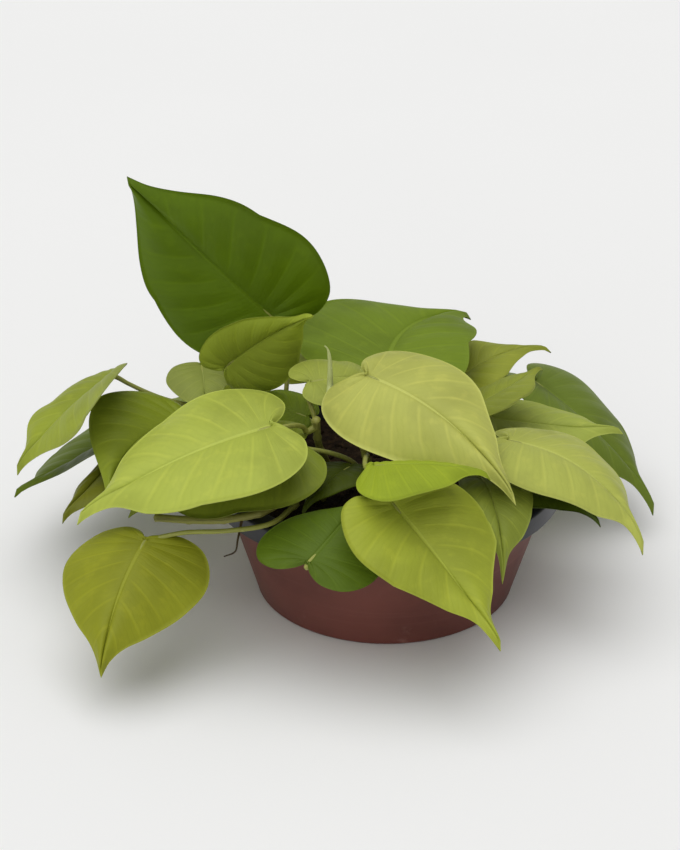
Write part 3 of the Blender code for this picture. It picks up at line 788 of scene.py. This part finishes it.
def blade_faces():
    """Quads between the rows, and triangles where all rows meet at the notch and at the tip."""
    width = 2 * COLUMNS + 1
    faces = []
    for column in range(width - 1):
        faces.append((0, 1 + column + 1, 1 + column))
    for row in range(ROWS - 2):
        low = 1 + row * width
        high = low + width
        for column in range(width - 1):
            faces.append((low + column, low + column + 1, high + column + 1, high + column))
    last = 1 + (ROWS - 2) * width
    tip = last + width
    for column in range(width - 1):
        faces.append((last + column, last + column + 1, tip))
    left = [1 + row * width for row in range(ROWS - 1)]
    right = [1 + row * width + width - 1 for row in range(ROWS - 1)]
    return faces, [0, *left, tip, *reversed(right)]


def both_halves(grid, sign):
    """Right half mirrored and joined to the left at the midrib, with the first and last rows as single points."""
    mirrored = sign * grid[:, :0:-1]
    whole = np.concatenate([mirrored, grid], axis=1)
    return np.concatenate([[whole[0, COLUMNS]], whole[1:-1].ravel(), [whole[-1, COLUMNS]]])


def vertex_normals(vertices, faces):
    total = np.zeros_like(vertices)
    for size in (3, 4):
        chosen = np.array([face for face in faces if len(face) == size])
        across = np.cross(vertices[chosen[:, 2]] - vertices[chosen[:, 0]],
                          vertices[chosen[:, -1]] - vertices[chosen[:, 1]])
        if size == 3:
            across = np.cross(vertices[chosen[:, 1]] - vertices[chosen[:, 0]],
                              vertices[chosen[:, 2]] - vertices[chosen[:, 0]])
        for corner in range(size):
            np.add.at(total, chosen[:, corner], across)
    return unit(total)


def build_blade(leaf):
    blade = Blade(leaf)
    chance = random.Random(leaf.name)
    u, v, row, reach = blade_rows()
    u = both_halves(u, 1)
    v = both_halves(v, -1)
    row = both_halves(row, 1)
    reach = both_halves(reach, 1)
    beside = smoothed_abs(v) / (smoothed_abs(v) + 0.03)
    ridge = -np.cos(2 * np.pi * VEINS * row) * np.sin(np.pi * np.clip(reach, 0, 1)) * beside
    start, count = chance.uniform(0, 6.28), chance.uniform(2.2, 3.6)
    edge = np.sin(2 * np.pi * count * row + start + 2.4 * np.sign(v)) * reach**4 * np.sin(np.pi * row)
    groove = -0.006 * np.exp(-(v / 0.011)**2) * np.clip(1.1 - u, 0, 1)
    relief = leaf.quilt * 0.0035 * ridge + leaf.wave * 0.008 * edge + groove
    middle = blade.points(u, v, reach, relief)
    faces, outline = blade_faces()
    normals = vertex_normals(middle, faces)
    if np.dot(normals.mean(axis=0), blade.normal) < 0:
        normals = -normals
        faces = [face[::-1] for face in faces]
        outline = outline[::-1]
    half = 0.5 * (MARGIN_THICKNESS + (BLADE_THICKNESS - MARGIN_THICKNESS) * (1 - reach**6))
    rib = MIDRIB_HEIGHT * np.exp(-(v / 0.013)**2) * np.clip(1.0 - u, 0, 1) ** 1.3
    top = middle + normals * half[:, None]
    bottom = middle - normals * (half + rib)[:, None]
    count = len(middle)
    vertices = np.concatenate([top, bottom])
    whole = list(faces)
    whole += [tuple(count + corner for corner in face[::-1]) for face in faces]
    for first, second in zip(outline, outline[1:] + outline[:1]):
        whole.append((second, first, count + first, count + second))
    place = np.stack([np.tile(u, 2), np.tile(v, 2), np.repeat((0.0, 1.0), count)], axis=1)
    growth = np.stack([np.tile(row * VEINS, 2), np.tile(reach, 2), np.zeros(2 * count)], axis=1)
    add_piece(leaf.name + "_blade", vertices, whole, leaf_look(leaf), node=leaf.name,
              attributes={"place": place, "growth": growth})
    return blade


def petiole_points(leaf, blade):
    """From the vine, up and over, to the notch and a little way along under the midrib."""
    centre, heading = along(vine_path(leaf.vine), leaf.at)
    out = (leaf.via[0] if leaf.via else leaf.base) - centre
    out = unit(out - out.dot(heading) * heading)
    start = centre + out * (VINE_RADIUS + TOUCH_GAP)
    stub = start + out * PETIOLE_STUB
    sunk = -PETIOLE_UNDER_BLADE * blade.normal
    notch = leaf.base + sunk
    reach = float(np.linalg.norm(notch - stub))
    under = blade.points(np.array([PETIOLE_SINK / blade.length]), np.array([0.0]))[0] + sunk
    arrive = unit(under - notch)
    first = stub + (out * 0.3 + np.array((0, 0, 1.0))) * 0.3 * reach
    second = notch - (arrive * 0.6 + np.array((0, 0, 0.25))) * 0.35 * reach
    if leaf.via:
        curve = list(through_points([stub, *leaf.via, notch], 3))
    else:
        curve = []
        for step in range(PETIOLE_POINTS):
            t = step / (PETIOLE_POINTS - 1)
            curve.append((1 - t)**3 * stub + 3 * t * (1 - t)**2 * first
                         + 3 * t**2 * (1 - t) * second + t**3 * notch)
    return [centre, start, *curve, under]


def build_petiole(leaf, blade, look):
    points = petiole_points(leaf, blade)
    route = even_points(through_points(points, 8), 0.8 * MM)
    share = np.linspace(0, 1, len(route))
    thick = PETIOLE_RADIUS * np.interp(share, (0, 0.06, 0.2, 0.8, 0.9, 0.96, 1),
                                       (1.5, 1.45, 1.05, 0.92, 1.08, 0.95, 0.5))
    vertices, faces, growth = sweep(route, thick, 12)
    add_piece(f"{leaf.name}_petiole", vertices, faces, look, attributes={"growth": growth})


def build_floor():
    vertices = [(0, 0, 0)]
    steps = 64
    for step in range(steps):
        angle = 2 * math.pi * step / steps
        vertices.append((FLOOR_RADIUS * math.cos(angle), FLOOR_RADIUS * math.sin(angle), 0))
    faces = [(0, 1 + step, 1 + (step + 1) % steps) for step in range(steps)]
    add_mesh("floor", vertices, faces, floor_look())


def add_soft_sun(name, place, strength, spread):
    """A wide, even light that shines from a place towards the origin."""
    data = bpy.data.lights.new(name, "SUN")
    data.energy = strength
    data.angle = math.radians(spread)
    made = bpy.data.objects.new(name, data)
    made.location = place
    made.rotation_mode = "QUATERNION"
    made.rotation_quaternion = (-Vector(place)).to_track_quat("-Z", "Y")
    bpy.context.scene.collection.objects.link(made)


def build_lights():
    world = bpy.data.worlds.new("soft_room")
    world.use_nodes = True
    backdrop = world.node_tree.nodes["Background"]
    backdrop.inputs["Color"].default_value = (1, 1, 1, 1)
    backdrop.inputs["Strength"].default_value = 0.38
    bpy.context.scene.world = world
    add_soft_sun("overhead", (-0.25, -0.1, 1.5), 1.55, 70)
    add_soft_sun("front_fill", (-0.5, -1.5, 1.0), 0.55, 60)


def build_camera():
    back = Vector((0, -math.cos(CAMERA_ELEVATION), math.sin(CAMERA_ELEVATION)))
    data = bpy.data.cameras.new("camera")
    data.sensor_width = SENSOR_WIDTH
    data.lens = SENSOR_WIDTH * FOCAL_PIXELS / PICTURE_LONG_SIDE
    data.dof.use_dof = False
    made = bpy.data.objects.new("camera", data)
    made.location = CAMERA_TARGET + CAMERA_DISTANCE * back
    made.rotation_mode = "QUATERNION"
    made.rotation_quaternion = (-back).to_track_quat("-Z", "Y")
    bpy.context.scene.collection.objects.link(made)
    bpy.context.scene.camera = made


def main():
    build_camera()
    build_lights()
    build_floor()
    scene = bpy.context.scene
    scene.view_settings.view_transform = "Standard"
    scene.view_settings.look = "None"
    build_outer_pot()
    build_growing_pot()
    build_soil(soil_look())
    vine_look = petiole_look("vine_skin", (112, 108, 44), (140, 140, 66))
    root_look = petiole_look("air_root_skin", (86, 70, 44), (60, 46, 30))
    shoot_look = petiole_look("new_leaf_skin", (160, 170, 92), (190, 198, 130))
    stalk_look = petiole_look("petiole_skin", (128, 130, 52), (156, 160, 78))
    for name in VINES:
        build_vine(name, vine_look, root_look, shoot_look)
    for leaf in LEAVES:
        blade = build_blade(leaf)
        build_petiole(leaf, blade, stalk_look)


main()
